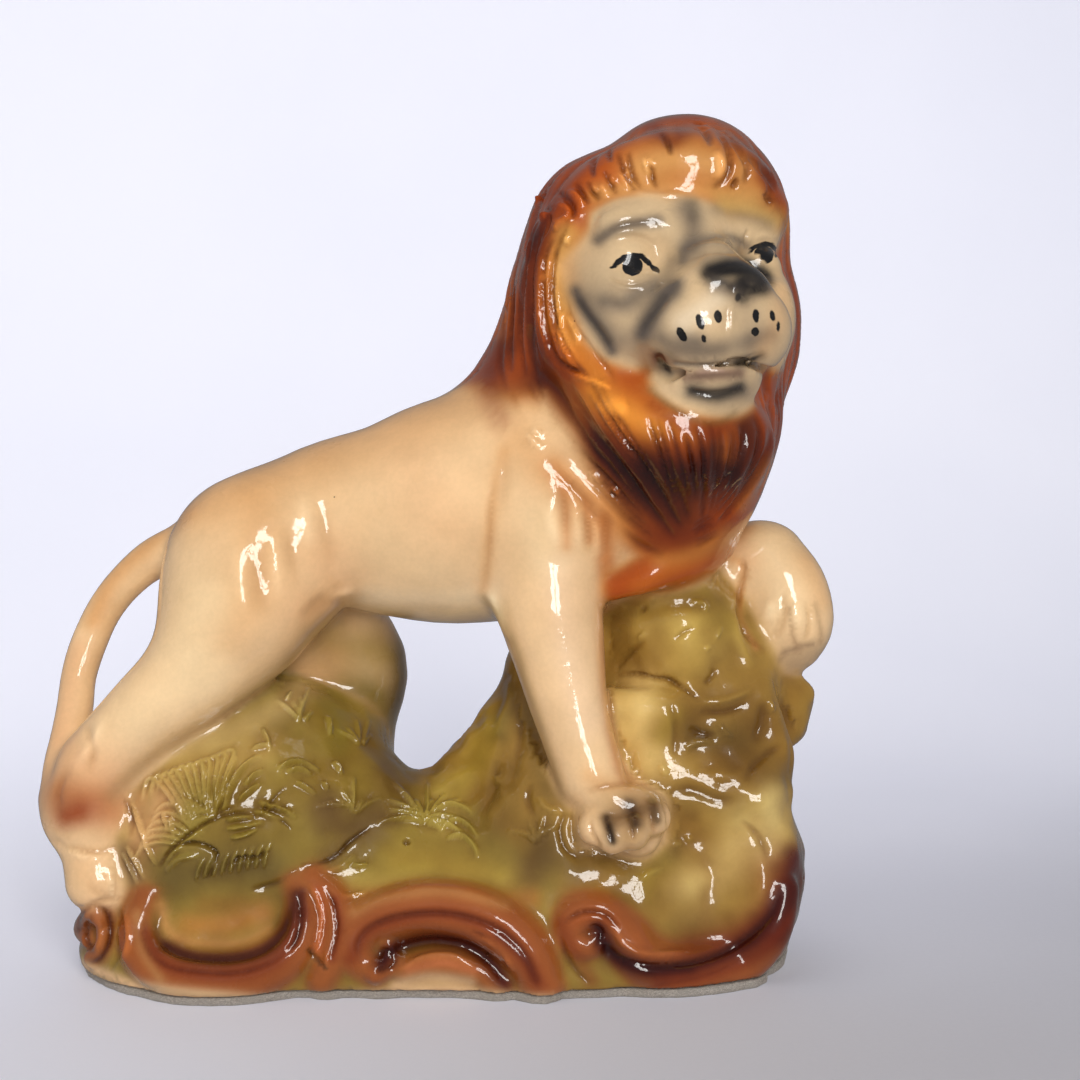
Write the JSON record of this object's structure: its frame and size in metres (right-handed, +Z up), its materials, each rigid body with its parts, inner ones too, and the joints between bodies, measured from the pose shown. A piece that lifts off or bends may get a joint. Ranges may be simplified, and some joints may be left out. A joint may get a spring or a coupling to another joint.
{
  "type": "lion figure",
  "caption": "Glossy painted plaster lion striding over a rocky mound on a scrolled base, head turned, one forepaw raised, felt pad glued beneath.",
  "frame": {"origin": "on the felt's underside, under the middle of the base", "axes": "+Z up, +X along the base towards the lion's head, -Y towards the side meant to be seen"},
  "size_m": [0.2093, 0.1029, 0.2259],
  "materials": {
    "painted_plaster": "glossy lacquer over airbrushed paint on cast plaster",
    "felt": "matt, fuzzy, cut edge"
  },
  "bodies": {
    "root": {"lion_figure": "painted_plaster", "felt_base_pad": "felt"}
  },
  "joints": []
}
